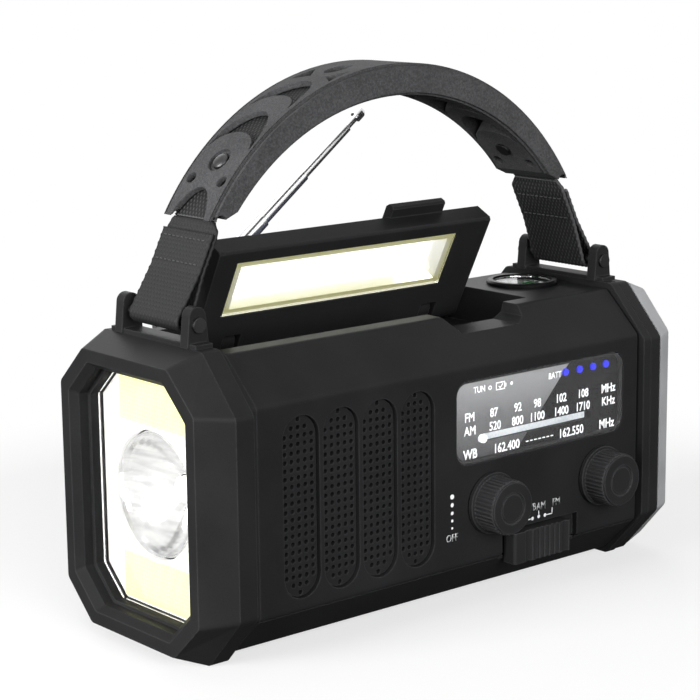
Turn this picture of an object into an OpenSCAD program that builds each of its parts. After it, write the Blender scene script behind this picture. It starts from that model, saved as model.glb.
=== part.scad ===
// Emergency radio with a flashlight head, a hinged lamp lid, a strap handle and a hand crank.
// Millimetres. X runs along the body with the flashlight at -X, the dial faces -Y, Z is up.

/* [Body] */
// Length over the flashlight bezel and the end cap
body_len = 200; // [198:1:203]
// Depth of the housing, front face to rear face
body_depth = 78; // [76:1:80]
// Height of the housing's flat top above the ground
body_top = 94; // [94:1:96]
// Height of the seam between the upper case and the base
seam_z = 15; // [14:0.5:15.5]
// Thickness of the moulded walls
wall = 2.4; // [2.2:0.1:2.6]
// Fillet on the long edges of the housing
edge_r = 2.4; // [1:0.2:3]

/* [Controls] */
// Radius of the two knobs
knob_r = 9; // [8.4:0.1:9.4]
// How far the knobs stand out of the front face
knob_out = 10.5; // [9:0.5:12]
// Number of knurls round a knob
knurls = 40; // [24:1:48]
// Radius of one hole in the speaker grille
grille_hole_r = 0.75; // [0.6:0.05:0.8]
// Distance between grille holes
grille_pitch = 2.55; // [2.5:0.05:2.6]

/* [Lid] */
// Angle the lid stands open at
lid_angle = 63; // [55:1:70]
// Distance from the hinge axis to the lid's front edge
lid_reach = 38; // [37:0.5:38.5]
// Thickness of the lid
lid_t = 11; // [10:0.5:11]

/* [Handle] */
// Outer radius of the arched grip
grip_r = 88; // [87:0.5:89]
// Width of the grip
grip_w = 26; // [25:0.5:28]
// Width of the sewn webbing
web_w = 25; // [24:0.5:26]
// Thickness of one layer of webbing
web_t = 1.5; // [1.2:0.1:1.8]

/* [Aerial] */
// Angle of the aerial above the housing's top
aerial_angle = 37.4; // [36:0.1:39]

/* [Crank] */
// Length of the crank arm, shaft to knob
crank_r = 38; // [34:1:40]
// Module of the gear teeth
gear_m = 0.8; // [0.8:0.05:0.8]

/* [Hidden] */
$fn = 48;

hy = body_depth / 2;
x_left = -body_len / 2;
x_right = body_len / 2;
body_x0 = -80.3;
body_x1 = 82.2;
rib_hy = hy + 2.3;
rib_top = body_top + 2;
front_y = -hy;

dial_x = [-1.3, 75.25];
dial_z = [48.3, 75.8];
knob_xs = [13.6, 64.2];
knob_z = 34.4;
slide_z = 55.2;
slide_x = [12.1, 61.6];
grille_x = [for (i = [0 : 3]) -64 + 15.47 * i];
grille_z = [26.1, 68.7];
grille_r = 6.9;
compass_xy = [69.5, 3.6];

hinge_y = 21;
hinge_z = body_top - 6;
lid_x = [-64, 50];
well_x = [-64.6, 50.6];
well_y = [-17.8, 27.5];
well_z = 82;
lug_x = [[-52, -46], [32, 38]];

pin_x = 86;
pin_z = 102.7;
pin_r = 1.5;
grip_z = 86.3;
grip_end = [85 * sin(58.5), grip_z + 85 * cos(58.5)];
web_tilt = atan2(pin_x - grip_end[0], grip_end[1] - pin_z);
web_len = norm([pin_x - grip_end[0], grip_end[1] - pin_z]);

aerial_base = [-62, 32, 92];

crank_x = 18;
crank_z = 48;
drive_n = 44;
pinion_n = 12;
idler_n = 36;
idler_x = crank_x + gear_m * (drive_n + pinion_n) / 2;
gen_x = idler_x + gear_m * (idler_n + pinion_n) / 2;

black = [0.09, 0.09, 0.1];
dark = [0.14, 0.14, 0.15];
grey = [0.3, 0.3, 0.31];
silver = [0.78, 0.79, 0.8];
white = [0.93, 0.92, 0.88];
clear = [0.85, 0.9, 0.92, 0.35];

// ---- shared shapes ----

// Arc that rounds the corner b between a and c
function corner_arc(a, b, c, r, n) =
    let (u = (a - b) / norm(a - b), v = (c - b) / norm(c - b), half = acos(u * v) / 2)
    let (o = b + (u + v) / norm(u + v) * r / sin(half), t = r / tan(half))
    let (p = b + u * t - o, q = b + v * t - o, a0 = atan2(p[1], p[0]))
    let (d = (atan2(q[1], q[0]) - a0 + 540) % 360 - 180)
    [for (i = [0 : n]) o + r * [cos(a0 + d * i / n), sin(a0 + d * i / n)]];

function round_poly(pts, r, n = 3) =
    let (k = len(pts))
    [for (i = [0 : k - 1]) each corner_arc(pts[(i + k - 1) % k], pts[i], pts[(i + 1) % k], r, n)];

// Chamfered rectangle: half width w, heights z0 and z1, chamfers cw by cz
function octagon(w, z0, z1, cw, cz) = [
    [w - cw, z0], [w, z0 + cz], [w, z1 - cz], [w - cw, z1],
    [cw - w, z1], [-w, z1 - cz], [-w, z0 + cz], [cw - w, z0]
];

// Housing outline moved inwards by t
function housing(t, r) =
    round_poly(octagon(hy - t, 2 + t, body_top - t, 14.5 - 0.6 * t, 13.7 - 0.6 * t), r);

function rib_outline(t, r) =
    round_poly(octagon(rib_hy - t, t, rib_top - t, 15.8 - 0.6 * t, 17.3 - 0.6 * t), r);

// Profile in Y and Z, swept from x0 to x1
module along_x(x0, x1) {
    translate([x0, 0, 0])
        rotate([90, 0, 90])
            linear_extrude(x1 - x0)
                children();
}

// Profile in X and Z, swept from y0 to y1
module along_y(y0, y1) {
    translate([0, y1, 0])
        rotate([90, 0, 0])
            linear_extrude(y1 - y0)
                children();
}

module rod_x(x0, x1, y, z, r) {
    translate([x0, y, z])
        rotate([0, 90, 0])
            cylinder(h = x1 - x0, r = r);
}

module rod_y(y0, y1, x, z, r) {
    translate([x, y1, z])
        rotate([90, 0, 0])
            cylinder(h = y1 - y0, r = r);
}

module rod_z(z0, z1, x, y, r) {
    translate([x, y, z0])
        cylinder(h = z1 - z0, r = r);
}

module box(x, y, z) {
    translate([x[0], y[0], z[0]])
        cube([x[1] - x[0], y[1] - y[0], z[1] - z[0]]);
}

// Rectangle with true arc corners
module round_rect(x, z, r) {
    translate([x[0] + r, z[0]])
        square([x[1] - x[0] - 2 * r, z[1] - z[0]]);
    translate([x[0], z[0] + r])
        square([x[1] - x[0], z[1] - z[0] - 2 * r]);
    for (px = [x[0] + r, x[1] - r], pz = [z[0] + r, z[1] - r])
        translate([px, pz])
            circle(r);
}

// Skin between two outlines with the same number of points, at x0 and x1
module loft(p0, x0, p1, x1) {
    n = len(p0);
    pts = concat([for (p = p0) [x0, p[0], p[1]]], [for (p = p1) [x1, p[0], p[1]]]);
    sides = [for (i = [0 : n - 1]) each [
        [i, i + n, (i + 1) % n], [(i + 1) % n, i + n, (i + 1) % n + n]
    ]];
    polyhedron(pts, concat([[for (i = [0 : n - 1]) i]], sides,
        [[for (i = [0 : n - 1]) 2 * n - 1 - i]]));
}

// ---- housing ----

module above(z) {
    translate([-60, z])
        square([120, 130]);
}

module below(z) {
    translate([-60, z - 130])
        square([120, 130]);
}

module screw_xy() {
    for (x = [-72, 72], y = [-20, 20])
        translate([x, y, 0])
            children();
}

module capsule(x, r) {
    translate([x - r, grille_z[0]])
        square([2 * r, grille_z[1] - grille_z[0]]);
    for (z = grille_z)
        translate([x, z])
            circle(r);
}

// Finger notch in the front lip of the lid well
module finger_notch() {
    along_y(-34, well_y[0] + 0.5)
        polygon([
            [4.6, body_top + 1], [5.9, body_top - 0.4], [9.8, body_top - 5.2], [34.9, body_top - 5.2],
            [38.4, body_top - 3.3], [39.4, body_top - 0.2], [39.8, body_top + 1]
        ]);
}

module case_shell() {
    difference() {
        along_x(body_x0, body_x1)
            intersection() {
                polygon(housing(0, edge_r));
                above(seam_z + 0.2);
            }
        along_x(body_x0 + wall, body_x1 - wall)
            polygon(housing(wall, 1.4));
    }
    // tub of the lid well, notch pad and slider pad, all inside the outline
    along_x(well_x[0] - 14, well_x[1] + 1.8)
        intersection() {
            polygon(housing(0.6, edge_r));
            translate([well_y[0] - 1.8, well_z - 1.8])
                square([well_y[1] - well_y[0] + 3.6, 20]);
        }
    along_x(3, 42)
        intersection() {
            polygon(housing(0, edge_r));
            translate([-34, body_top - 7.4])
                square([18, 12]);
        }
    box([16, 56], [front_y + 1, front_y + 4.4], [seam_z + 0.2, 27]);
    // bearing bosses of the crank and the aerial
    rod_y(32.6, hy - 1, crank_x, crank_z, 8);
    intersection() {
        rod_z(78, 94, aerial_base[0], aerial_base[1], 7);
        along_x(-75, -50)
            polygon(housing(0.6, edge_r));
    }
    screw_xy()
        translate([0, 0, 13])
            cylinder(h = body_top - 14.5, r = 3.4);
}

// Lugs on the well's rear wall that carry the lid's pin
module lid_lugs() {
    for (x = lug_x) {
        rod_x(x[0], x[1], hinge_y, hinge_z, 4.2);
        box(x, [hinge_y, well_y[1] + 0.5], [well_z - 0.5, hinge_z]);
    }
}

module main_case() {
    color(dark)
        difference() {
            case_shell();
            // lid well with a ramp at its left end
            difference() {
                box(well_x, well_y, [well_z, 100]);
                lid_lugs();
            }
            along_y(well_y[0], 20)
                polygon([[-78.5, body_top + 0.01], [-78.5, body_top + 5], [-60, body_top + 5],
                    [-60, body_top - 5], [-66, body_top - 5], [-74, body_top - 2.4]]);
            finger_notch();
            rod_x(well_x[0] - 1.5, well_x[1] + 1.5, hinge_y, hinge_z, 1.55);
            // grille, dial and slider openings
            along_y(front_y - 1, front_y + 5)
                for (x = grille_x)
                    capsule(x, grille_r);
            along_y(front_y - 1, front_y + 1.8)
                round_rect(dial_x, dial_z, 5);
            along_y(front_y + 1, front_y + 5)
                round_rect([dial_x[0] + 1.2, dial_x[1] - 1.2], [dial_z[0] + 1.2, dial_z[1] - 1.2], 4);
            box([18.9, 53.7], [front_y - 1, front_y + 2.2], [10, 23.4]);
            box([31.5, 42], [front_y + 1, front_y + 6], [17.2, 19.8]);
            for (x = knob_xs)
                rod_y(front_y - 1, front_y + 4, x, knob_z, 3.05);
            // compass, aerial, crank, rear buttons and sockets
            rod_z(body_top - 9, body_top + 1, compass_xy[0], compass_xy[1], 10.6);
            rod_z(87.6, 100, aerial_base[0], aerial_base[1], 5.5);
            rod_z(80, 88, aerial_base[0], aerial_base[1], 2.55);
            rod_y(30, hy + 1, crank_x, crank_z, 4.05);
            for (x = [-66, -50])
                rod_y(hy - 5, hy + 1, x, 60, 4.4);
            along_y(hy - 1.4, hy + 1)
                round_rect([-75, -43], [22, 38], 2);
            for (x = [-68.5, -56.5, -48])
                box([x - 4.2, x + (x > -50 ? 3.2 : 4.2)], [hy - 5, hy], [26.5, 33.5]);
            // rear face of the flashlight bowl
            rod_x(body_x0 - 1, body_x0 + 4, 0, 48, 20.5);
            screw_xy()
                translate([0, 0, 12])
                    cylinder(h = 20, r = 1.55);
        }
}

module base_case() {
    color(dark)
        difference() {
            union() {
                difference() {
                    along_x(body_x0, body_x1)
                        intersection() {
                            polygon(housing(0, edge_r));
                            below(seam_z - 0.2);
                        }
                    along_x(body_x0 + wall, body_x1 - wall)
                        polygon(housing(wall, 1.4));
                }
                // tongue that locates the upper case
                along_x(body_x0 + 6, body_x1 - 6)
                    intersection() {
                        difference() {
                            polygon(housing(wall - 0.4, 1.4));
                            polygon(housing(wall + 1.2, 1.4));
                        }
                        translate([-60, 9])
                            square([120, seam_z - 9.2]);
                    }
                along_x(body_x0 + 6, body_x1 - 6)
                    intersection() {
                        difference() {
                            polygon(housing(wall + 0.1, 1.4));
                            polygon(housing(wall + 1.2, 1.4));
                        }
                        translate([-60, seam_z - 0.4])
                            square([120, 2.4]);
                    }
                along_x(16, 56)
                    intersection() {
                        polygon(housing(0, edge_r));
                        translate([-40, 9])
                            square([7.5, seam_z - 9.2]);
                    }
                screw_xy()
                    translate([0, 0, 3])
                        cylinder(h = 9.7, r = 4.4);
            }
            box([14, 58], [front_y - 1, front_y + 4.6], [seam_z - 0.3, 20]);
            box([18.9, 53.7], [front_y - 1, front_y + 2.2], [12, 23.4]);
            screw_xy()
                union() {
                    cylinder(h = 20, r = 1.7);
                    cylinder(h = 5, r = 3.3);
                }
            // clearance for the sockets at the rear
            box([-76, -42], [hy - 5, hy - wall - 0.1], [seam_z - 0.3, 20]);
        }
}

module case_screws() {
    color(silver)
        screw_xy()
            difference() {
                union() {
                    translate([0, 0, 3.2])
                        cylinder(h = 1.8, r = 3);
                    translate([0, 0, 4.9])
                        cylinder(h = 21, r = 1.5);
                }
                for (a = [0, 90])
                    rotate([0, 0, a])
                        translate([-1.7, -0.35, 3])
                            cube([3.4, 0.7, 1.1]);
            }
}

// ---- flashlight head ----

module head_shell() {
    color(dark)
        difference() {
            union() {
                loft(round_poly(octagon(35, 4.2, 91.8, 12.8, 12.1), 2.2), x_left,
                    rib_outline(0, 2.6), -89.4);
                along_x(-89.5, -82.9)
                    polygon(rib_outline(0, 2.6));
                along_x(-83, -82.4)
                    polygon(housing(1.2, 2));
                along_x(-82.5, body_x0)
                    polygon(housing(0, edge_r));
            }
            // bevelled mouth, then two steps down to the lens seat
            loft(round_poly(octagon(30.9, 8.3, 87.7, 11, 10.4), 1.6), x_left - 0.01,
                round_poly(octagon(29, 10.2, 85.8, 10.4, 9.8), 1.4), x_left + 2.6);
            along_x(x_left + 2.5, x_left + 6)
                polygon(round_poly(octagon(29, 10.2, 85.8, 10.4, 9.8), 1.4));
            along_x(x_left + 5.9, -83.5)
                polygon(round_poly(octagon(28, 11.2, 84.8, 10, 9.4), 1.2));
            rod_x(-87, -79, 0, 48, 20.5);
        }
}

module head_lens() {
    color(clear)
        along_x(-91, -89.8)
            polygon(round_poly(octagon(27.9, 11.3, 84.7, 10, 9.4), 1.1));
}

module reflector_plate() {
    color(white)
        difference() {
            union() {
                along_x(-88.6, -87)
                    polygon(round_poly(octagon(27.8, 11.4, 84.6, 10, 9.4), 1.1));
                rod_x(-89.5, -87, 0, 48, 21.2);
            }
            rod_x(-90, -86, 0, 48, 20.25);
        }
}

module main_reflector() {
    color(silver)
        translate([-89.4, 0, 48])
            rotate([0, 90, 0])
                rotate_extrude()
                    polygon(concat(
                        [for (i = [0 : 10]) [19.3 - 14.8 * pow(i / 10, 1.6), 12 * i / 10]],
                        [for (i = [10 : -1 : 0]) [19.3 - 14.8 * pow(i / 10, 1.6)
                            + (i > 0 ? 0.9 : 0), 12 * i / 10 + (i < 10 ? 0.9 : 0)]]
                    ));
}

module main_led() {
    color([1, 0.97, 0.8])
        union() {
            rod_x(-79, -76.5, 0, 48, 4);
            translate([-79, 0, 48])
                sphere(r = 2.4);
        }
}

module cob_panels() {
    color([0.98, 0.9, 0.55])
        for (z = [[12.4, 26.8], [69.2, 83.6]])
            box([-89.4, -88.6], [-17.5, 17.5], z);
}

// ---- right end ----

module bumper_right() {
    color(dark)
        difference() {
            union() {
                along_x(82.2, 83.3)
                    polygon(housing(2, 2));
                along_x(83.2, 86.6)
                    polygon(rib_outline(0, 2.6));
                along_x(86.5, 87.2)
                    polygon(rib_outline(0.9, 2));
                along_x(87.1, 91.5)
                    polygon(rib_outline(0.3, 2.6));
            }
            along_x(82, 92)
                polygon(rib_outline(7, 2));
        }
}

module end_cap() {
    color(grey)
        difference() {
            union() {
                along_x(91.5, 92.5)
                    polygon(rib_outline(1.6, 2));
                loft(rib_outline(0.7, 2.6), 92.4,
                    round_poly(octagon(37.2, 3.7, 92.3, 12, 13.5), 2.6), x_right);
            }
            loft(rib_outline(7, 2), 91.4,
                round_poly(octagon(31, 10, 86, 10, 11), 2), x_right - 2.6);
        }
}

// ---- speaker ----

// Hole centres inside a capsule
function grille_holes() = [
    for (i = [-2 : 2], k = [-10.5 : 10.5])
        let (x = i * grille_pitch, z = k * grille_pitch, dz = max(0, abs(z) - 21.3))
        if (norm([x, dz]) < grille_r - 1.1) [x, 47.4 + z]
];

module speaker_grille() {
    color(dark)
        difference() {
            union() {
                box([-73, -9], [front_y + wall, front_y + wall + 1.2], [17.4, 77.4]);
                along_y(front_y + 1.5, front_y + wall + 0.1)
                    for (x = grille_x)
                        capsule(x, grille_r - 0.2);
            }
            for (x = grille_x, p = grille_holes())
                rod_y(front_y, front_y + 5, x + p[0], p[1], grille_hole_r);
        }
}

module speaker_frame() {
    color([0.5, 0.5, 0.5])
        translate([-41, front_y + 4, 47.4])
            rotate([-90, 0, 0])
                rotate_extrude()
                    polygon([
                        [24.6, 0], [28, 0], [28, 1.2], [26.6, 1.6], [12, 12], [12, 19], [4.5, 19], [4.5, 13.2],
                        [10.6, 11.4], [24.6, 2.4]
                    ]);
}

module speaker_cone() {
    color([0.12, 0.11, 0.1])
        translate([-41, front_y + 4.2, 47.4])
            rotate([-90, 0, 0])
                rotate_extrude()
                    polygon([
                        [0, 6.6], [4, 7.2], [5, 8.6], [21, 1.6], [22.4, 0.9], [24.4, 1.2], [24.4, 1.8],
                        [22.6, 1.6], [21.4, 2.2], [5.4, 9.6], [3.9, 9.6], [3.9, 12.4], [3.2, 12.4],
                        [3.2, 8.2], [0, 7.4]
                    ]);
}

// ---- dial ----

module dial_window() {
    color(clear)
        along_y(front_y + 0.2, front_y + 1.7)
            round_rect([dial_x[0] + 0.15, dial_x[1] - 0.15], [dial_z[0] + 0.15, dial_z[1] - 0.15], 4.85);
}

module dial_scale() {
    color(black)
        difference() {
            along_y(front_y + 3.6, front_y + 4.6)
                round_rect([dial_x[0] + 0.2, dial_x[1] - 0.2], [dial_z[0] + 0.2, dial_z[1] - 0.2], 4);
            along_y(front_y + 3, front_y + 5)
                hull()
                    for (x = slide_x)
                        translate([x, slide_z])
                            circle(1.35);
            for (x = [50.3, 57, 63.4, 69.6])
                rod_y(front_y + 3, front_y + 5, x, 71.4, 1.25);
        }
}

module dial_pointer() {
    color(white)
        union() {
            along_y(front_y + 2.1, front_y + 3.2)
                round_rect([slide_x[0] - 1.3, slide_x[0] + 1.3], [slide_z - 1.25, slide_z + 1.25], 1.2);
            box([slide_x[0] - 0.9, slide_x[0] + 0.9], [front_y + 3.1, front_y + 6], [slide_z - 0.9, slide_z + 0.9]);
            box([slide_x[0] - 3, slide_x[0] + 3], [front_y + 5, front_y + 6.4], [slide_z - 3, slide_z + 3]);
        }
}

module battery_leds() {
    color([0.2, 0.3, 1])
        for (x = [50.3, 57, 63.4, 69.6]) {
            rod_y(front_y + 2.9, front_y + 7, x, 71.4, 1.2);
            rod_y(front_y + 4.7, front_y + 7, x, 71.4, 1.7);
        }
}

// ---- knobs and switch ----

module front_knob(x) {
    difference() {
        union() {
            rod_y(front_y - knob_out + 0.8, front_y - 1.9, x, knob_z, knob_r);
            rod_y(front_y - knob_out, front_y - knob_out + 0.9, x, knob_z, knob_r - 0.6);
            rod_y(front_y - 2, front_y - 0.5, x, knob_z, knob_r + 1.1);
            rod_y(front_y - 1, front_y + 12, x, knob_z, 3);
        }
        for (a = [0 : 360 / knurls : 359])
            translate([x + (knob_r + 0.25) * cos(a), 0, knob_z + (knob_r + 0.25) * sin(a)])
                rotate([90, 0, 0])
                    translate([0, 0, -front_y + 2])
                        cylinder(h = knob_out + 2, r = 0.55, $fn = 16);
        // ring round the middle of the face
        difference() {
            rod_y(front_y - knob_out - 1, front_y - knob_out + 0.5, x, knob_z, knob_r * 0.58);
            rod_y(front_y - knob_out - 2, front_y - knob_out + 1, x, knob_z, knob_r * 0.5);
        }
        rod_y(front_y - knob_out - 1, front_y - knob_out + 0.25, x, knob_z, knob_r * 0.5 + 0.1);
    }
}

module volume_knob() {
    color(dark)
        front_knob(knob_xs[0]);
}

module tuning_knob() {
    color(dark)
        front_knob(knob_xs[1]);
}

module volume_pot() {
    color(silver)
        difference() {
            union() {
                rod_y(front_y + 4.5, front_y + 14, knob_xs[0], knob_z, 8);
                box([knob_xs[0] - 6, knob_xs[0] + 6], [front_y + 8, front_y + 12], [knob_z - 14, knob_z]);
            }
            rod_y(front_y + 3, front_y + 12.5, knob_xs[0], knob_z, 3.05);
        }
}

module tuning_capacitor() {
    color([0.8, 0.78, 0.68])
        difference() {
            box([knob_xs[1] - 10, knob_xs[1] + 10], [front_y + 5, front_y + 15], [knob_z - 10, knob_z + 10]);
            rod_y(front_y + 3, front_y + 12.5, knob_xs[1], knob_z, 3.05);
        }
}

module band_slider() {
    color(dark)
        union() {
            translate([0, 0, 12.5])
                linear_extrude(10.5)
                    difference() {
                        translate([0, 0])
                            round_rect([20.8, 46.8], [front_y - 4, front_y + 1.9], 0.9);
                        for (x = [27.4, 44.2])
                            translate([x, front_y - 5.6])
                                circle(2.3);
                        for (i = [0 : 4])
                            translate([31.35 + 2.3 * i, front_y - 4.1])
                                circle(0.85);
                    }
            box([32, 35.6], [front_y + 1.8, front_y + 8], [17.6, 19.4]);
        }
}

// ---- compass ----

module compass_bowl() {
    color(black)
        translate([compass_xy[0], compass_xy[1], body_top])
            rotate_extrude()
                polygon([
                    [0, -7.6], [10.4, -7.6], [10.4, 0], [12.4, 0], [12.4, 1], [11.8, 1.6], [10.2, 1.6],
                    [10.2, 0.9], [9.9, 0.9], [9.9, -6.4], [1.1, -6.4], [0.45, -2.2], [0, -1.85]
                ]);
}

module compass_card() {
    color(white)
        translate([compass_xy[0], compass_xy[1], body_top])
            difference() {
                union() {
                    translate([0, 0, -1.6])
                        cylinder(h = 0.5, r = 9.3);
                    translate([0, 0, -2.6])
                        cylinder(h = 1.6, r = 1.8);
                    translate([-6, -0.7, -1.2])
                        cube([12, 1.4, 0.5]);
                }
                translate([0, 0, -3])
                    cylinder(h = 1.2, r = 1);
            }
}

module compass_glass() {
    color(clear)
        translate([compass_xy[0], compass_xy[1], body_top])
            cylinder(h = 0.9, r = 9.85);
}

// ---- lid with the reading lamp ----

// Turns a lid modelled shut about its hinge axis to where it stands open
module lid_open() {
    translate([0, hinge_y, hinge_z])
        rotate([-lid_angle, 0, 0])
            children();
}

module lid_shell() {
    h = lid_t / 2;
    color(dark)
        lid_open()
            difference() {
                union() {
                    along_x(lid_x[0], lid_x[1])
                        union() {
                            circle(h);
                            polygon([[0, -h], [-lid_reach + 0.8, -h], [-lid_reach, -h + 0.8],
                                [-lid_reach, h - 3.5], [-lid_reach + 3.4, h], [0, h]]);
                        }
                    // finger tab
                    along_x(10, 33)
                        polygon([[-lid_reach - 3.4, 1.3], [-lid_reach - 4, 1.9], [-lid_reach - 4, 3.8],
                            [-lid_reach - 2.6, 4.9], [-lid_reach + 5, 4.9], [-lid_reach + 5, 1.3]]);
                    // bright edge bead under the front edge
                    rod_x(lid_x[0] + 2, lid_x[1] - 2, -lid_reach + 0.9, -h + 0.7, 0.7);
                }
                // lamp pocket, solar pocket, hinge gaps and pin bore
                box([-56, 36], [-33.5, -13], [-h - 1, 1.6]);
                box([-58, 44], [-33, -4], [h - 1.2, h + 1]);
                for (x = lug_x)
                    box([x[0] - 0.4, x[1] + 0.4], [-5, 7], [-7, 7]);
                rod_x(lid_x[0] - 1, lid_x[1] + 1, 0, 0, pin_r);
            }
}

module lid_pin() {
    color(silver)
        rod_x(well_x[0] - 1.3, well_x[1] + 1.3, hinge_y, hinge_z, pin_r);
}

module solar_panel() {
    h = lid_t / 2;
    color([0.07, 0.08, 0.16])
        lid_open()
            difference() {
                box([-57.8, 43.8], [-32.8, -4.2], [h - 1.2, h - 0.1]);
                for (i = [1 : 7])
                    box([-57.8 + 12.7 * i - 0.15, -57.8 + 12.7 * i + 0.15], [-33, -4], [h - 0.3, h]);
                box([-58, 44], [-18.65, -18.35], [h - 0.3, h]);
            }
}

module lamp_reflector() {
    color(silver)
        lid_open()
            difference() {
                box([-55.8, 35.8], [-33.3, -13.2], [-4.3, 1.5]);
                hull() {
                    box([-53.2, 33.2], [-31.2, -15.2], [-4.4, -4.3]);
                    box([-50.2, 30.2], [-28.8, -17.6], [0.4, 0.5]);
                }
            }
}

module lamp_panel() {
    color([1, 0.98, 0.86])
        lid_open()
            box([-49.8, 29.8], [-28.4, -18], [-1, 0.45]);
}

module lamp_cover() {
    h = lid_t / 2;
    color(clear)
        lid_open()
            box([-55.8, 35.8], [-33.3, -13.2], [-h + 0.2, -h + 1.1]);
}

// ---- strap handle ----

module strap_brackets() {
    color(dark)
        for (s = [-1, 1])
            difference() {
                union() {
                    box([s * pin_x - 3.1, s * pin_x + 3.1], [-22, 22], [rib_top, rib_top + 1.4]);
                    for (y = [[-19, -15.2], [15.2, 19]])
                        along_y(y[0], y[1])
                            translate([s * pin_x, 0])
                                union() {
                                    polygon([[-3.9, rib_top], [3.9, rib_top], [3, pin_z + 2.4], [-3, pin_z + 2.4]]);
                                    translate([0, pin_z + 2.4])
                                        circle(3);
                                }
                }
                rod_y(-20, 20, s * pin_x, pin_z, pin_r);
            }
}

module strap_pins() {
    color(silver)
        for (s = [-1, 1])
            union() {
                rod_y(-19, 19, s * pin_x, pin_z, pin_r);
                for (y = [-20.1, 19])
                    rod_y(y, y + 1.1, s * pin_x, pin_z, 2.3);
            }
}

// Webbing folded round a pin and sewn double above; v runs up the strap
module strap_profile() {
    difference() {
        union() {
            circle(pin_r + 0.06 + web_t);
            polygon([[-3.05, 0.3], [3.05, 0.3], [web_t, 15], [-web_t, 15]]);
        }
        circle(pin_r + 0.06);
        polygon([[-1.5, 0.4], [1.5, 0.4], [0.1, 13.5], [-0.1, 13.5]]);
    }
    translate([-web_t, 14.5])
        square([2 * web_t, web_len - 14.5]);
    translate([0, web_len])
        circle(1.6);
}

module strap(s) {
    color(black)
        translate([s * pin_x, 0, pin_z])
            rotate([0, -s * web_tilt, 0])
                along_y(-web_w / 2, web_w / 2)
                    strap_profile();
}

module strap_left() {
    strap(-1);
}

module strap_right() {
    strap(1);
}

// Arched window: semi-ellipse a wide and h1 high, less one h2 high
function crescent(a, h1, h2, n = 12) = concat(
    [for (i = [0 : n]) [h1 * sin(180 * i / n), a * cos(180 * i / n)]],
    [for (i = [n - 1 : -1 : 1]) [h2 * sin(180 * i / n), (a - 0.7) * cos(180 * i / n)]]
);

// Places a shape drawn on the grip's surface at an angle from its top
module on_grip(angle, z0, z1) {
    for (s = [-1, 1])
        translate([0, 0, grip_z])
            rotate([0, s * angle, 0])
                translate([0, 0, z0])
                    linear_extrude(z1 - z0)
                        mirror([s > 0 ? 1 : 0, 0])
                            children();
}

module grip_windows() {
    translate([-8.5, 0])
        polygon(crescent(10.2, 17.2, 7));
}

module grip_band(r_out, r_in) {
    difference() {
        translate([0, grip_z])
            circle(r_out, $fn = 96);
        translate([0, 80.1])
            circle(r_in, $fn = 96);
        for (s = [-1, 1])
            translate([0, grip_z])
                polygon([for (p = [[94, 59], [84.2, 59], [83.6, 57], [79.6, 52.5], [70, 52], [60, 120], [130, 120], [130, 59]])
                    [s * p[0] * sin(p[1]), p[0] * cos(p[1])]]);
        translate([-110, -80])
            square([220, 180]);
    }
}

module web_arc(r0, r1, angle) {
    intersection() {
        difference() {
            translate([0, grip_z])
                circle(r1, $fn = 96);
            translate([0, grip_z])
                circle(r0, $fn = 96);
        }
        translate([0, grip_z])
            polygon([[0, 0], [-140 * sin(angle), 140 * cos(angle)], [-140, 140], [140, 140],
                [140 * sin(angle), 140 * cos(angle)]]);
    }
}

module handle_grip() {
    color(grey)
        difference() {
            union() {
                along_y(-grip_w / 2 + 1.2, grip_w / 2 - 1.2)
                    grip_band(grip_r, 84.2);
                along_y(-grip_w / 2, grip_w / 2)
                    grip_band(grip_r - 0.8, 84.9);
            }
            // thin grooves between the faces and the side bands
            for (y = [-grip_w / 2 + 1.4, grip_w / 2 - 1.9])
                along_y(y, y + 0.5)
                    difference() {
                        grip_band(grip_r + 2, 82);
                        grip_band(grip_r - 1.6, 85.8);
                    }
            along_y(-10.8, 10.8)
                web_arc(83.9, 86.1, 75);
            // seats of the straps
            along_y(-15, 15)
                for (s = [-1, 1])
                    translate([s * grip_end[0], grip_end[1]]) {
                        circle(2.4);
                        rotate(s * web_tilt)
                            translate([-2.7, -12])
                                square([5.4, 12]);
                    }
            // windows in the outer and the inner face
            for (z = [[84.5, 92], [76, 84.6]]) {
                on_grip(36.9, z[0], z[1])
                    grip_windows();
                on_grip(24.3, z[0], z[1])
                    scale([1, 0.93])
                        grip_windows();
                on_grip(15, z[0], z[1])
                    for (y = [-1, 1])
                        polygon([[-4.6, y * 9.4], [-1.2, y * 3.6], [5.2, y * 8.6]]);
                on_grip(10.2, z[0], z[1])
                    polygon([for (i = [0 : 19]) [5.4 * cos(18 * i), 3.2 * sin(18 * i)]]);
                on_grip(50.4, z[0], z[1])
                    for (y = [-7.6, 7.6])
                        translate([0, y])
                            circle(1.9);
            }
            // arched mouth over the webbing
            on_grip(57, 84.5, 92)
                translate([-12, 0])
                    polygon([for (i = [0 : 14]) [19.5 * sin(180 * i / 14), 9.6 * cos(180 * i / 14)]]);
            on_grip(45.5, 86.9, 92)
                circle(4.2);
            on_grip(45.5, 76, 90)
                circle(1.5);
        }
}

module strap_core() {
    color(black)
        difference() {
            along_y(-10.4, 10.4)
                web_arc(84.2, 85.8, 56);
            on_grip(45.5, 76, 90)
                circle(1.5);
        }
}

module grip_rivets() {
    color(silver)
        for (s = [-1, 1])
            translate([0, 0, grip_z])
                rotate([0, s * 45.5, 0])
                    rotate_extrude()
                        polygon(concat(
                            [[0, 78.9], [2.6, 78.9], [2.6, 79.66], [1.5, 79.66], [1.5, 86.9], [2.9, 86.9]],
                            [for (i = [0 : 5]) [2.9 * cos(18 * i), 87.3 + 1.2 * sin(18 * i)]]
                        ));
}

// ---- telescopic aerial ----

// Aerial axis along Z, from the pivot up
module on_aerial() {
    translate(aerial_base)
        rotate([0, 90 - aerial_angle, 0])
            children();
}

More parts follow.
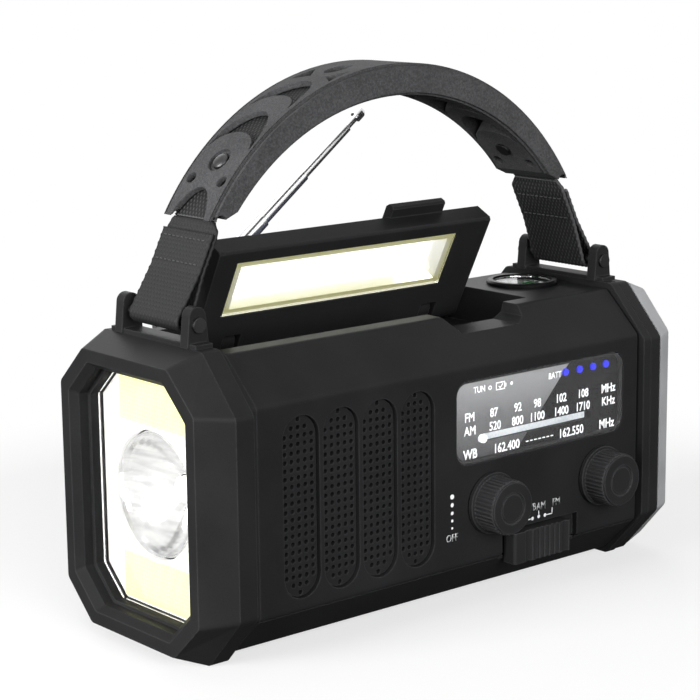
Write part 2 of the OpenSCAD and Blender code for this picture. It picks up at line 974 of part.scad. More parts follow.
module antenna_knuckle() {
    color(silver)
        translate(aerial_base)
            union() {
                translate([0, 0, -4.1])
                    cylinder(h = 1, r = 4.6);
                translate([0, 0, -10])
                    cylinder(h = 6, r = 2.5);
                for (y = [[-3.6, -1.8], [1.8, 3.6]])
                    along_y(y[0], y[1])
                        union() {
                            circle(2.7);
                            translate([-2.7, -3.2])
                                square([5.4, 3.2]);
                        }
                rod_y(-3.7, 3.7, 0, 0, 1);
            }
}

module antenna_tube_1() {
    color(silver)
        on_aerial()
            difference() {
                union() {
                    along_y(-1.5, 1.5)
                        circle(2.5);
                    translate([-2.4, -1.5, 0])
                        cube([4.8, 3, 5.4]);
                    translate([0, 0, 4.6])
                        cylinder(h = 45.4, r = 2.6);
                }
                rod_y(-4, 4, 0, 0, 1.05);
                translate([0, 0, 5.4])
                    cylinder(h = 60, r = 2.15);
            }
}

module tube_section(z0, z1, r, bore) {
    color(silver)
        on_aerial()
            difference() {
                translate([0, 0, z0])
                    cylinder(h = z1 - z0, r = r);
                translate([0, 0, z0 - 1])
                    cylinder(h = z1 - z0 + 2, r = bore);
            }
}

module antenna_tube_2() {
    tube_section(26, 72, 2.1, 1.7);
}

module antenna_tube_3() {
    tube_section(50, 96, 1.65, 1.2);
}

module antenna_rod() {
    color(silver)
        on_aerial()
            union() {
                translate([0, 0, 55.5])
                    cylinder(h = 46, r = 1.15);
                translate([0, 0, 101])
                    cylinder(h = 2.6, r = 1.9);
                translate([0, 0, 103.6])
                    cylinder(h = 1, r1 = 1.9, r2 = 1.2);
            }
}

// ---- crank and generator ----

// Involute tooth outline with n teeth, a little thinner than half the pitch
function gear_points(n, slack = 0.09) =
    let (rp = gear_m * n / 2, rb = rp * cos(20))
    let (ra = rp + gear_m * (n > 20 ? 0.75 : 1), rf = rp - 1.2 * gear_m)
    let (inv = tan(20) * 180 / PI - 20, half = 90 / n - slack / rp * 90 / PI + inv)
    let (r0 = max(rb, rf), ts = [for (i = [0 : 4]) r0 + (ra - r0) * i / 4])
    let (a = [for (r = ts) let (p = acos(rb / r)) half - tan(p) * 180 / PI + p])
    [for (k = [0 : n - 1]) let (c = 360 * k / n) each concat(
        [[rf * cos(c - a[0] - 0.3), rf * sin(c - a[0] - 0.3)]],
        [for (i = [0 : 4]) [ts[i] * cos(c - a[i]), ts[i] * sin(c - a[i])]],
        [for (i = [4 : -1 : 0]) [ts[i] * cos(c + a[i]), ts[i] * sin(c + a[i])]],
        [[rf * cos(c + a[0] + 0.3), rf * sin(c + a[0] + 0.3)]]
    )];

module gear_at(x, n, turn, y0, y1) {
    translate([x, 0, crank_z])
        along_y(y0, y1)
            rotate(turn)
                polygon(gear_points(n));
}

module crank_shaft() {
    color(silver)
        difference() {
            union() {
                rod_y(13.5, 44.6, crank_x, crank_z, 4);
                rod_y(24, 27.9, crank_x, crank_z, 6);
            }
            rod_y(40, 45, crank_x, crank_z, 1.2);
        }
}

module crank_arm() {
    color(dark)
        difference() {
            union() {
                along_y(hy + 0.8, hy + 5.6)
                    union() {
                        translate([crank_x, crank_z - 8])
                            square([crank_r - 1.5, 16]);
                        for (x = [crank_x, crank_x + crank_r - 1.5])
                            translate([x, crank_z])
                                circle(8);
                    }
                rod_y(hy + 0.8, hy + 7.4, crank_x, crank_z, 8);
                // ears of the folding knob
                for (z = [[crank_z - 8, crank_z - 5.2], [crank_z + 5.2, crank_z + 8]]) {
                    rod_z(z[0], z[1], crank_x + crank_r - 1.5, hy + 6, 3.6);
                    box([crank_x + crank_r - 5.1, crank_x + crank_r + 2.1], [hy + 0.8, hy + 6], z);
                }
            }
            box([crank_x + 10.4, crank_x + crank_r + 12], [hy, hy + 12], [crank_z - 5.2, crank_z + 5.2]);
            rod_y(hy, hy + 5.6, crank_x, crank_z, 4);
            rod_z(crank_z - 9, crank_z + 9, crank_x + crank_r - 1.5, hy + 6, 1.55);
        }
}

module knob_yoke() {
    x = crank_x + crank_r - 1.5;
    color(silver)
        union() {
            rod_z(crank_z - 7.8, crank_z + 7.8, x, hy + 6, 1.5);
            rod_z(crank_z - 4.7, crank_z + 4.7, x, hy + 6, 3.2);
            rod_x(crank_x + 13.5, x - 2.5, hy + 6, crank_z, 1.5);
        }
}

module crank_knob() {
    x = crank_x + crank_r - 1.5;
    color(black)
        translate([crank_x + 12, hy + 6, crank_z])
            rotate([0, 90, 0])
                rotate_extrude()
                    polygon([
                        [0, 0], [3.2, 0], [4.2, 0.8], [4.5, 2], [4.5, 9], [4.1, 14], [4.5, 19], [4.1, 20.6],
                        [1.55, 20.6], [1.55, 1.2], [0, 1.2]
                    ]);
}

module drive_gear() {
    color([0.85, 0.84, 0.78])
        difference() {
            gear_at(crank_x, drive_n, 0, 28, 32);
            rod_y(27, 33, crank_x, crank_z, 4);
            for (a = [30 : 60 : 330])
                translate([11 * cos(a), 0, 11 * sin(a)])
                    rod_y(27, 33, crank_x, crank_z, 2.6);
        }
}

module idler_gear() {
    color([0.85, 0.84, 0.78])
        difference() {
            union() {
                gear_at(idler_x, pinion_n, 180 + 180 / pinion_n, 27.6, 32);
                gear_at(idler_x, idler_n, 0, 21, 24);
                rod_y(23.9, 27.7, idler_x, crank_z, 3.4);
            }
            rod_y(20, 33, idler_x, crank_z, 2.05);
        }
}

module generator_pinion() {
    color([0.8, 0.66, 0.35])
        union() {
            gear_at(gen_x, pinion_n, 180 + 180 / pinion_n, 20.6, 24.4);
            rod_y(2, 26, gen_x, crank_z, 1);
        }
}

module generator() {
    color(silver)
        difference() {
            union() {
                rod_y(-6, 14.4, gen_x, crank_z, 12);
                rod_y(14.3, 17.4, gen_x, crank_z, 3);
            }
            rod_y(1, 18, gen_x, crank_z, 1.05);
        }
}

module gear_plate() {
    color([0.6, 0.61, 0.63])
        difference() {
            union() {
                along_y(14.5, 16.5)
                    round_rect([-2, 68.5], [25, 72], 5);
                for (p = [[2.5, 29.5], [2.5, 67], [64, 30], [64, 67]])
                    rod_y(16.4, hy - wall, p[0], p[1], 2.4);
                rod_y(16.4, 32.6, idler_x, crank_z, 2);
            }
            rod_y(14, 17, crank_x, crank_z, 4.05);
            rod_y(14, 17, gen_x, crank_z, 3.05);
        }
}

// ---- electronics, cells and the rear face ----

module circuit_board() {
    color([0.1, 0.35, 0.18])
        union() {
            box([-66, 76], [-11.6, -10], [30, 76]);
            box([-60, -46], [-10, -7], [40, 54]);
            box([-20, -8], [-10, -8], [52, 64]);
            box([4, 20], [-10, -7.5], [58, 68]);
            // ferrite rod aerial in two clips
            rod_x(-55, 45, -18, 72, 4);
            for (x = [-50, 38])
                box([x, x + 4], [-18, -11], [68.5, 75.5]);
        }
}

module battery_cells() {
    color([0.25, 0.45, 0.7])
        for (y = [-6.4, 13])
            union() {
                rod_x(-64.4, 0.6, y, 15.4, 9);
                rod_x(0.5, 2.2, y, 15.4, 2.8);
            }
}

module battery_tray() {
    color(black)
        difference() {
            box([-67, 4.6], [-16.8, 23.4], [4.5, 15]);
            for (y = [-6.4, 13])
                rod_x(-64.6, 2.6, y, 15.4, 9.2);
        }
}

module rear_button(x) {
    union() {
        rod_y(hy - 6, hy + 1.2, x, 60, 4.1);
        rod_y(hy - 4.1, hy - 2.7, x, 60, 5.6);
    }
}

module torch_button() {
    color([0.75, 0.25, 0.12])
        rear_button(-66);
}

module lamp_button() {
    color(grey)
        rear_button(-50);
}

module port_cover() {
    color(black)
        union() {
            along_y(hy - 1.1, hy + 0.5)
                round_rect([-74.6, -43.4], [24.8, 37.6], 1.8);
            rod_x(-72.4, -45.6, hy - 0.2, 23.6, 1);
            box([-72, -46], [hy - 0.9, hy + 0.3], [23.4, 26]);
            along_y(hy + 0.4, hy + 1.4)
                round_rect([-62, -56], [35.4, 37], 0.7);
        }
}

module port_sockets() {
    color(silver)
        for (x = [-68.5, -56.5, -47.8])
            difference() {
                box([x - 3.8, x + (x > -50 ? 2.6 : 3.8)], [hy - 11, hy - 1.7], [27, 33]);
                box([x - 3, x + (x > -50 ? 1.8 : 3)], [hy - 7, hy], [28, 32]);
            }
}

// ---- output ----

main_case();
base_case();
head_shell();
bumper_right();
end_cap();
head_lens();
reflector_plate();
main_reflector();
main_led();
cob_panels();
speaker_grille();
speaker_frame();
speaker_cone();
dial_window();
dial_scale();
dial_pointer();
battery_leds();
volume_knob();
tuning_knob();
volume_pot();
tuning_capacitor();
band_slider();
compass_bowl();
compass_card();
compass_glass();
lid_shell();
solar_panel();
lamp_reflector();
lamp_panel();
lamp_cover();
lid_pin();
strap_brackets();
strap_pins();
strap_left();
strap_right();
strap_core();
handle_grip();
grip_rivets();
antenna_knuckle();
antenna_tube_1();
antenna_tube_2();
antenna_tube_3();
antenna_rod();
crank_shaft();
crank_arm();
knob_yoke();
crank_knob();
drive_gear();
idler_gear();
generator_pinion();
generator();
gear_plate();
circuit_board();
battery_cells();
battery_tray();
torch_button();
lamp_button();
port_cover();
port_sockets();
case_screws();
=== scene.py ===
import math
import bpy
import bmesh
from mathutils import Matrix, Vector


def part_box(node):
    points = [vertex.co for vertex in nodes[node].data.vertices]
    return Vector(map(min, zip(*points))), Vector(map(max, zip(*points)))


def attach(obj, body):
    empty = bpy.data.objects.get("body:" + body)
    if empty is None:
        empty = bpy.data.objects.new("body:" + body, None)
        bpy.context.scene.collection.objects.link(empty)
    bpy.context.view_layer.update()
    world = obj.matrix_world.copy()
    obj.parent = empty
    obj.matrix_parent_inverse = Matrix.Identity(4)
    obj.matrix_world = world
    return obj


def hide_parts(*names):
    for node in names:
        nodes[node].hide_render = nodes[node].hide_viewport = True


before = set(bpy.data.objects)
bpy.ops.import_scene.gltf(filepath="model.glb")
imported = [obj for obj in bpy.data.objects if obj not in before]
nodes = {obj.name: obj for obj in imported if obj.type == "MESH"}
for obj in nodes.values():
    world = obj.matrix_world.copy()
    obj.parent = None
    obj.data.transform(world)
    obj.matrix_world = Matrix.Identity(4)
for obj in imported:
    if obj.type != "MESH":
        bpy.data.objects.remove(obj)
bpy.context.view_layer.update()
print("frame loaded")

mm = 0.001
frontY = -0.039
topZ = 0.094
compassAt = (0.0695, 0.0036)
bevelSamples = 3


# camera and studio
view = {"azimuth": -39.93, "elevation": 11.55, "roll": -0.64, "lens": 107.45,
        "place": (-0.43770, -0.50849, 0.21765)}
az, el, roll = (math.radians(view[k]) for k in ("azimuth", "elevation", "roll"))
back = Vector((math.sin(az) * math.cos(el), -math.cos(az) * math.cos(el), math.sin(el)))
side = (-back).cross(Vector((0, 0, 1))).normalized()
rise = side.cross(-back)
right = side * math.cos(roll) + rise * math.sin(roll)
upward = rise * math.cos(roll) - side * math.sin(roll)
cameraData = bpy.data.cameras.new("camera")
cameraData.lens = view["lens"]
cameraData.sensor_width = 36
cameraData.clip_start = 0.01
camera = bpy.data.objects.new("camera", cameraData)
bpy.context.scene.collection.objects.link(camera)
facing = Matrix((right, upward, back)).transposed().to_4x4()
camera.matrix_world = Matrix.Translation(view["place"]) @ facing
bpy.context.scene.camera = camera
bpy.context.scene.view_settings.view_transform = "Standard"

lampSet = {
    "frontCard": {"place": (-0.35, -1.3, 0.45), "aim": (0, 0, 0.08), "size": (1.1, 0.7), "power": 24.0},
    "leftCard": {"place": (-1.3, 0.05, 0.35), "aim": (-0.05, 0, 0.08), "size": (0.7, 0.7), "power": 28.0},
    "skyCard": {"place": (-0.1, 0.15, 1.2), "aim": (0, 0, 0.05), "size": (0.9, 0.7), "power": 1.6},
    "rearCard": {"place": (0.45, 0.95, 0.6), "aim": (0, 0, 0.08), "size": (0.9, 0.6), "power": 3.5},
}
for name, lamp in lampSet.items():
    data = bpy.data.lights.new(name, "AREA")
    data.shape = "RECTANGLE"
    data.size, data.size_y = lamp["size"]
    data.energy = lamp["power"]
    obj = bpy.data.objects.new(name, data)
    bpy.context.scene.collection.objects.link(obj)
    obj.location = lamp["place"]
    direction = Vector(lamp["aim"]) - Vector(lamp["place"])
    obj.rotation_euler = direction.to_track_quat("-Z", "Y").to_euler()
print("camera and lamps set")


# shader maths on sockets
class Wire:
    def __init__(self, finish, socket):
        self.finish = finish
        self.socket = socket

    def math(self, operation, *values, clamp=False):
        settings = {"operation": operation, "use_clamp": clamp}
        made = self.finish.add("Math", settings, dict(enumerate(values)))
        return Wire(self.finish, made.outputs[0])

    def __add__(self, other): return self.math("ADD", self, other)
    def __radd__(self, other): return self.math("ADD", other, self)
    def __sub__(self, other): return self.math("SUBTRACT", self, other)
    def __rsub__(self, other): return self.math("SUBTRACT", other, self)
    def __mul__(self, other): return self.math("MULTIPLY", self, other)
    def __rmul__(self, other): return self.math("MULTIPLY", other, self)
    def __truediv__(self, other): return self.math("DIVIDE", self, other)
    def __lt__(self, other): return self.math("LESS_THAN", self, other)
    def __gt__(self, other): return self.math("GREATER_THAN", self, other)
    def size(self): return self.math("ABSOLUTE", self)
    def sine(self): return self.math("SINE", self)
    def root(self): return self.math("SQRT", self)
    def greater(self, other): return self.math("MAXIMUM", self, other)
    def limited(self): return self.math("ADD", self, 0.0, clamp=True)


# shader nodes of a material, or of the world when one is given
class Finish:
    def __init__(self, name, shader=True, world=None):
        self.material = world or bpy.data.materials.new(name)
        self.material.use_nodes = True
        self.tree = self.material.node_tree
        self.tree.nodes.clear()
        self.output = self.add("OutputWorld" if world else "OutputMaterial")
        if shader:
            self.body = self.add("BsdfPrincipled")
            self.tree.links.new(self.body.outputs[0], self.output.inputs["Surface"])

    # a node from its type, its settings, then its sockets
    def add(self, kind, settings=None, sockets=None):
        made = self.tree.nodes.new("ShaderNode" + kind)
        for key, value in (settings or {}).items():
            if key == "stops":
                ramp = made.color_ramp
                while len(ramp.elements) < len(value):
                    ramp.elements.new(0.5)
                for element, (place, colour) in zip(ramp.elements, value):
                    element.position = place
                    element.color = tuple(colour) + (1,) if len(colour) == 3 else colour
            else:
                setattr(made, key, value)
        for key, value in (sockets or {}).items():
            self.feed(made.inputs[key], value)
        return made

    def feed(self, socket, value):
        if isinstance(value, Wire):
            self.tree.links.new(value.socket, socket)
        elif isinstance(value, bpy.types.NodeSocket):
            self.tree.links.new(value, socket)
        elif socket.type == "RGBA" and len(value) == 3:
            socket.default_value = tuple(value) + (1,)
        else:
            socket.default_value = value

    def wire(self, socket):
        return Wire(self, socket)

    def place(self):
        split = self.add("SeparateXYZ", None, {0: self.add("TexCoord").outputs["Object"]})
        return [self.wire(split.outputs[i]) for i in range(3)]

    def spot(self, x, y, z):
        return self.add("CombineXYZ", None, {0: x, 1: y, 2: z}).outputs[0]

    def noise(self, scale, detail=2.0, rough=0.5, vector=None):
        sockets = {"Scale": scale, "Detail": detail, "Roughness": rough}
        sockets["Vector"] = vector or self.add("TexCoord").outputs["Object"]
        return self.wire(self.add("TexNoise", None, sockets).outputs["Fac"])

    def cells(self, scale, vector=None, feature="F1"):
        sockets = {"Scale": scale, "Vector": vector or self.add("TexCoord").outputs["Object"]}
        return self.wire(self.add("TexVoronoi", {"feature": feature}, sockets).outputs["Distance"])

    def ramp(self, value, stops):
        return self.add("ValToRGB", {"stops": stops}, {0: value}).outputs["Color"]

    def mix(self, factor, first, second):
        made = self.add("Mix", {"data_type": "RGBA"}, {0: factor, 6: first, 7: second})
        return made.outputs[2]

    # 1 on sharp edges, 0 on flat faces
    def edges(self, radius, gain=7.0):
        rounded = self.add("Bevel", {"samples": bevelSamples}, {"Radius": radius}).outputs[0]
        flat = self.add("NewGeometry").outputs["Normal"]
        match = self.add("VectorMath", {"operation": "DOT_PRODUCT"}, {0: rounded, 1: flat})
        return ((1.0 - self.wire(match.outputs["Value"])) * gain).limited()

    # how much of the light path is seen straight on, or by the other kinds of ray
    def seen(self, *kinds):
        rays = self.add("LightPath")
        total = self.wire(rays.outputs["Is Camera Ray"])
        for kind in kinds:
            total = total.greater(rays.outputs["Is " + kind + " Ray"])
        return total

    def bump(self, height, depth, strength=1.0, soften=0.0):
        sockets = {"Height": height, "Distance": depth, "Strength": strength}
        if soften:
            sockets["Normal"] = self.add("Bevel", {"samples": bevelSamples}, {"Radius": soften}).outputs[0]
        self.feed(self.body.inputs["Normal"], self.add("Bump", None, sockets).outputs[0])

    def set(self, **values):
        for key, value in values.items():
            self.feed(self.body.inputs[key.replace("_", " ")], value)


def grown(colour, factor):
    return tuple(min(1.0, part * factor) for part in colour)


# moulded plastic: fine spark-eroded grain, slow shade drift, lighter edges that are a painted highlight
# together with edge wear
def mouldedPlastic(name, colour, rough, grain=2600.0, depth=0.00004, highlightAndWear=0.35, soften=0.0005, shine=0.05):
    f = Finish(name)
    drift = f.noise(38.0, 3.0)
    fine = f.noise(grain, 2.0, 0.6)
    # lighter edges in the colour: painted highlight along sharp edges, broken up by noise like wear
    edgeHighlightAndWear = f.edges(soften * 1.2) * (0.55 + f.noise(420.0, 4.0) * 0.6) * highlightAndWear
    base = f.ramp(drift * 0.7 + fine * 0.3, [(0.3, grown(colour, 0.8)), (0.7, grown(colour, 1.22))])
    f.set(Base_Color=f.mix(edgeHighlightAndWear.limited(), base, grown(colour, 7.0)),
          Roughness=rough - 0.1 + drift * 0.12 + fine * 0.08, Specular_IOR_Level=shine)
    f.bump(fine + f.cells(grain * 0.5) * 0.6, depth, 0.6, soften)
    return f.material


# grained rubber of the grip
def grainedRubber(name, colour, scale=1500.0):
    f = Finish(name)
    speck = f.noise(scale, 3.0, 0.75)
    slow = f.noise(60.0, 2.0)
    base = f.ramp(speck * 0.8 + slow * 0.2,
                  [(0.36, grown(colour, 0.6)), (0.5, colour), (0.66, grown(colour, 1.55))])
    f.set(Base_Color=base, Roughness=0.72 + speck * 0.2, Specular_IOR_Level=0.2)
    f.bump(speck, 0.00016, 0.9, 0.0006)
    return f.material


# brushed or polished metal
def workedMetal(name, colour, rough, lines=(60, 60, 3000), soften=0.0003):
    f = Finish(name)
    x, y, z = f.place()
    streak = f.noise(1.0, 3.0, 0.6, f.spot(x * lines[0], y * lines[1], z * lines[2]))
    smear = f.noise(90.0, 3.0)
    base = f.ramp(smear, [(0.3, grown(colour, 0.88)), (0.7, grown(colour, 1.06))])
    f.set(Base_Color=base, Metallic=1.0, Roughness=rough + streak * 0.12 + smear * 0.06)
    f.bump(streak, 0.000015, 0.5, soften)
    return f.material


def clearPlastic(name, tint=(1.0, 1.0, 1.0), rough=0.0, shine=0.15):
    f = Finish(name)
    haze = f.noise(45.0, 3.0)
    f.set(Base_Color=f.ramp(haze, [(0.2, grown(tint, 0.98)), (0.8, tint)]), Roughness=rough + haze * 0.015,
          Transmission_Weight=1.0, IOR=1.46, Specular_IOR_Level=shine)
    return f.material


# plastic that glows: the real lamps, and painted glow on parts that are no lamp
def litPlastic(name, colour, glow, power, scale=700.0):
    f = Finish(name)
    grit = f.noise(scale, 2.0)
    slow = f.noise(70.0, 2.0)
    tone = f.ramp(grit * 0.4 + slow * 0.6, [(0.3, grown(glow, 0.9)), (0.7, glow)])
    f.set(Base_Color=f.ramp(grit, [(0.3, grown(colour, 0.9)), (0.7, colour)]), Roughness=0.35 + slow * 0.1,
          Emission_Color=tone, Emission_Strength=power)
    return f.material


def plainFinish(name, colour, rough, scale=240.0, metal=0.0, spread=0.15):
    f = Finish(name)
    slow = f.noise(scale, 3.0)
    fine = f.noise(scale * 9, 2.0)
    f.set(Base_Color=f.ramp(slow, [(0.3, grown(colour, 1 - spread)), (0.7, grown(colour, 1 + spread))]),
          Roughness=rough + fine * 0.1, Metallic=metal)
    f.bump(fine, 0.00002, 0.4, 0.0003)
    return f.material


# floor and surroundings
studio = {"fill": 0.13, "floorShade": 0.97, "bounceShade": 0.08, "floorGlow": 0.62,
          "fadeFrom": 0.07, "fadeTo": 0.3, "floorSize": 8}


def surroundings():
    world = bpy.data.worlds.new("surroundings")
    bpy.context.scene.world = world
    w = Finish("surroundings", shader=False, world=world)
    plain = w.add("Background", None, {0: (1, 1, 1), 1: studio["fill"]})
    white = w.add("Background", None, {0: (1, 1, 1), 1: 1.0})
    seen = w.seen("Glossy", "Transmission")
    mixed = w.add("MixShader", None, {0: seen, 1: plain.outputs[0], 2: white.outputs[0]})
    w.tree.links.new(mixed.outputs[0], w.output.inputs["Surface"])

    bpy.ops.mesh.primitive_plane_add(size=studio["floorSize"], location=(0, 0, 0))
    floor = bpy.context.object
    floor.name = "floor"
    f = Finish("floorPaper", shader=False)
    direct = f.seen("Transmission")
    x, y = f.place()[:2]
    away = (x * x + y * y).root()
    spread = {0: away, 1: studio["fadeFrom"], 2: studio["fadeTo"], 3: 0.0, 4: 1.0}
    fade = f.wire(f.add("MapRange", {"interpolation_type": "SMOOTHSTEP"}, spread).outputs[0])
    tone = f.mix(direct, (studio["bounceShade"],) * 3, (studio["floorShade"],) * 3)
    paper = f.add("BsdfDiffuse", None, {0: tone})
    glow = f.add("Emission", None, {0: (1, 1, 1), 1: 1.0})
    share = direct * fade.greater(studio["floorGlow"])
    blended = f.add("MixShader", None, {0: share, 1: paper.outputs[0], 2: glow.outputs[0]})
    f.tree.links.new(blended.outputs[0], f.output.inputs["Surface"])
    floor.data.materials.append(f.material)


surroundings()
print("floor and surroundings made")

shade = {"case": (0.015, 0.015, 0.0157), "head": (0.016, 0.016, 0.0166), "cap": (0.34, 0.345, 0.355),
         "control": (0.018, 0.018, 0.0188), "rubber": (0.05, 0.05, 0.052),
         "softRubber": (0.014, 0.014, 0.0147)}
finishes = {
    "case": mouldedPlastic("casePlastic", shade["case"], 0.42),
    "head": mouldedPlastic("headPlastic", shade["head"], 0.45, 2200.0),
    "cap": mouldedPlastic("capPlastic", shade["cap"], 0.38, 2600.0, 0.00003, 0.15),
    "control": mouldedPlastic("controlPlastic", shade["control"], 0.36, 3000.0, 0.00002, 0.5),
    "gloss": mouldedPlastic("glossBlack", (0.004, 0.004, 0.0045), 0.3, 3000.0, 0.000004, 0.1),
    "blackMetal": workedMetal("blackenedSteel", (0.06, 0.06, 0.062), 0.32),
    "grip": grainedRubber("gripRubber", shade["rubber"]),
    "softRubber": grainedRubber("softRubber", shade["softRubber"], 1900.0),
    "chrome": workedMetal("polishedTube", (0.82, 0.82, 0.83), 0.1),
    "steel": workedMetal("brushedSteel", (0.55, 0.55, 0.56), 0.28),
    "brass": workedMetal("brass", (0.72, 0.53, 0.26), 0.25),
    "clear": clearPlastic("clearPlastic"),
    "lens": clearPlastic("lensPlastic", (1.0, 1.0, 0.99)),
    # pointer and dial print glow: painted light standing in for studio light that the dial glass holds
    # back; they are no lamps
    "pointer": litPlastic("pointerPlastic", (0.85, 0.85, 0.84), (1.0, 1.0, 1.0), 0.75),
    "print": plainFinish("whitePrint", (0.85, 0.86, 0.87), 0.5, spread=0.05),
    "printWithPaintedGlow": litPlastic("scalePrintWithPaintedGlow", (0.85, 0.86, 0.87), (1.0, 1.0, 1.0), 0.72, 2500.0),
    # reflector plate glow: painted light for the lamp's light falling on the plate, which is no lamp
    "plateWithPaintedGlow": litPlastic("plateWithPaintedGlow", (0.9, 0.9, 0.88), (1.0, 1.0, 0.98), 0.38, 300.0),
    "gear": plainFinish("gearPlastic", (0.72, 0.7, 0.63), 0.4),
    "board": plainFinish("circuitBoard", (0.03, 0.16, 0.07), 0.35, 500.0, spread=0.4),
    "cellWrap": plainFinish("cellWrap", (0.08, 0.2, 0.42), 0.3),
    "orange": plainFinish("signalPlastic", (0.55, 0.12, 0.03), 0.35),
    "paper": plainFinish("speakerPaper", (0.03, 0.028, 0.026), 0.85, 600.0),
    "ledBlue": litPlastic("blueLamp", (0.01, 0.015, 0.5), (0.02, 0.025, 0.75), 1.0),
    "mainLamp": litPlastic("warmLamp", (1.0, 0.99, 0.95), (1.0, 0.99, 0.95), 1.2),
}


# phosphor strip of a panel light: pale yellow with rows of chips
def phosphorPanel(name, power, chips=2400.0):
    f = Finish(name)
    y, z = f.place()[1:]
    rows = ((y * chips).sine() * (z * chips).sine()).size()
    patch = f.noise(160.0, 3.0)
    tone = f.mix(rows * 0.5 + patch * 0.4, (1.0, 0.98, 0.36), (1.0, 1.0, 0.56))
    f.set(Base_Color=tone, Roughness=0.4 + patch * 0.15, Emission_Color=tone, Emission_Strength=power)
    f.bump(rows, 0.00008, 0.5)
    return f.material


# reading lamp: white light that turns yellow at the rim of its reflector
lampRim = {"lean": 63, "halfWide": 0.0079, "endFade": 0.004, "sideFade": 0.003}


def readingLamp(name, power, shine):
    f = Finish(name)
    x, y, z = f.place()
    low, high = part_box("lamp_reflector")
    middle = [(a + b) / 2 for a, b in zip(low, high)]
    lean = math.radians(lampRim["lean"])
    across = (y - middle[1]) * math.cos(lean) - (z - middle[2]) * math.sin(lean)
    atEnds = ((x - middle[0]).size() - (high[0] - low[0]) / 2) / lampRim["endFade"] + 1
    atSides = (across.size() - lampRim["halfWide"]) / lampRim["sideFade"] + 1
    rim = atEnds.greater(atSides)
    grain = f.noise(500.0, 2.0)
    tone = f.mix(rim.limited() * (0.8 + grain * 0.2), (1.0, 1.0, 0.97), (0.62, 0.6, 0.2))
    f.set(Base_Color=f.mix(grain, (0.85, 0.85, 0.8), (0.95, 0.95, 0.92)), Roughness=0.25 + grain * 0.15,
          Metallic=shine, Emission_Color=tone, Emission_Strength=power)
    return f.material


# reflector bowl: bright, with soft curved streaks; its glow is painted light and the streaks are a painted
# reflection
def bowlWithPaintedGlow(name):
    f = Finish(name)
    x, y, z = f.place()
    turn = f.noise(1.0, 4.0, 0.6, f.spot(x * 60, (y + z * 0.4) * 60, (z - y * y * 9) * 330))
    glow = f.ramp(turn, [(0.38, (0.62, 0.62, 0.63)), (0.52, (1.0, 1.0, 1.0))])
    # colour and glow follow the streaks: painted reflection, and the glow is painted light on a part that
    # is no lamp
    f.set(Base_Color=f.ramp(turn, [(0.3, (0.7, 0.7, 0.71)), (0.6, (0.92, 0.92, 0.92))]),
          Roughness=0.12 + turn * 0.1, Metallic=1.0, Emission_Color=glow, Emission_Strength=0.12)
    f.bump(turn, 0.0001, 0.4)
    return f.material


# solar cells: dark blue silicon with silver fingers across each cell
def solarCells(name, fingerPitch=0.0016, busPitch=0.0127):
    f = Finish(name)
    x = f.place()[0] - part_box("solar_panel")[0][0]
    finger = (x * 2 * math.pi / fingerPitch).sine() > 0.93
    bus = (x * 2 * math.pi / busPitch + 1.2).sine() > 0.992
    crystal = f.cells(260.0)
    base = f.mix(crystal, (0.006, 0.009, 0.03), (0.02, 0.03, 0.09))
    marks = (finger * 0.35).greater(bus * 0.8)
    f.set(Base_Color=f.mix(marks, base, (0.5, 0.52, 0.55)), Roughness=0.22 + crystal * 0.1,
          Coat_Weight=0.15, Coat_Roughness=0.06, Metallic=marks * 0.6, Specular_IOR_Level=0.2)
    return f.material


# dial plate: painted reflection of glare on the glass, grey fading downwards to the left of a slanting
# line, black to its right
paintedGlare = {"foot": (0.0275, 0.0481), "slope": 0.948, "blur": 0.00015, "low": 0.047, "high": 0.0775}


def dialPlate(name):
    f = Finish(name)
    x, z = f.place()[::2]
    slant = (z - paintedGlare["foot"][1]) * paintedGlare["slope"] - (x - paintedGlare["foot"][0])
    blur = paintedGlare["blur"]
    # grey side of the slanting line: painted reflection
    pale = f.wire(f.add("MapRange", None, {0: slant, 1: -blur, 2: blur, 3: 0.0, 4: 1.0}).outputs[0])
    grain = f.noise(1400.0, 2.0)
    rise = {0: z, 1: paintedGlare["low"], 2: paintedGlare["high"]}
    height = f.wire(f.add("MapRange", None, rise).outputs[0])
    fade = f.ramp(height + (grain - 0.5) * 0.03, [(0.0, (0.075, 0.075, 0.076)), (0.5, (0.2, 0.2, 0.202)),
                                                  (1.0, (0.46, 0.46, 0.465))])
    f.set(Base_Color=f.mix(pale, (0.006, 0.006, 0.0065), fade), Roughness=0.35 + grain * 0.2,
          Specular_IOR_Level=0.1)
    return f.material


# compass card: pale with green leaves, two black rings and a green needle
compassRings = ((0.0072, 0.00028), (0.0042, 0.0002))
needleDepth = 0.00108


def compassCard(name, leafPitch=700.0):
    f = Finish(name)
    x, y, z = f.place()
    dx, dy = x - compassAt[0], y - compassAt[1]
    far = (dx * dx + dy * dy).root()
    outer, inner = ((far - radius).size() < half for radius, half in compassRings)
    tone = f.noise(300.0, 2.0)
    leaf = (((dx + dy) * leafPitch).sine() * ((dx - dy) * leafPitch).sine()) > 0.35
    card = f.ramp(tone, [(0.3, (0.7, 0.72, 0.7)), (0.7, (0.85, 0.86, 0.84))])
    base = f.mix(leaf * 0.5, card, (0.08, 0.6, 0.2))
    base = f.mix(outer.greater(inner), base, (0.03, 0.03, 0.03))
    needle = z > topZ - needleDepth
    base = f.mix(needle, base, (0.03, 0.45, 0.07))
    f.set(Base_Color=base, Roughness=0.4 + tone * 0.15)
    return f.material


finishes["panel"] = phosphorPanel("phosphorPanel", 0.3)
finishes["readingLamp"] = readingLamp("readingLamp", 1.25, 0.0)
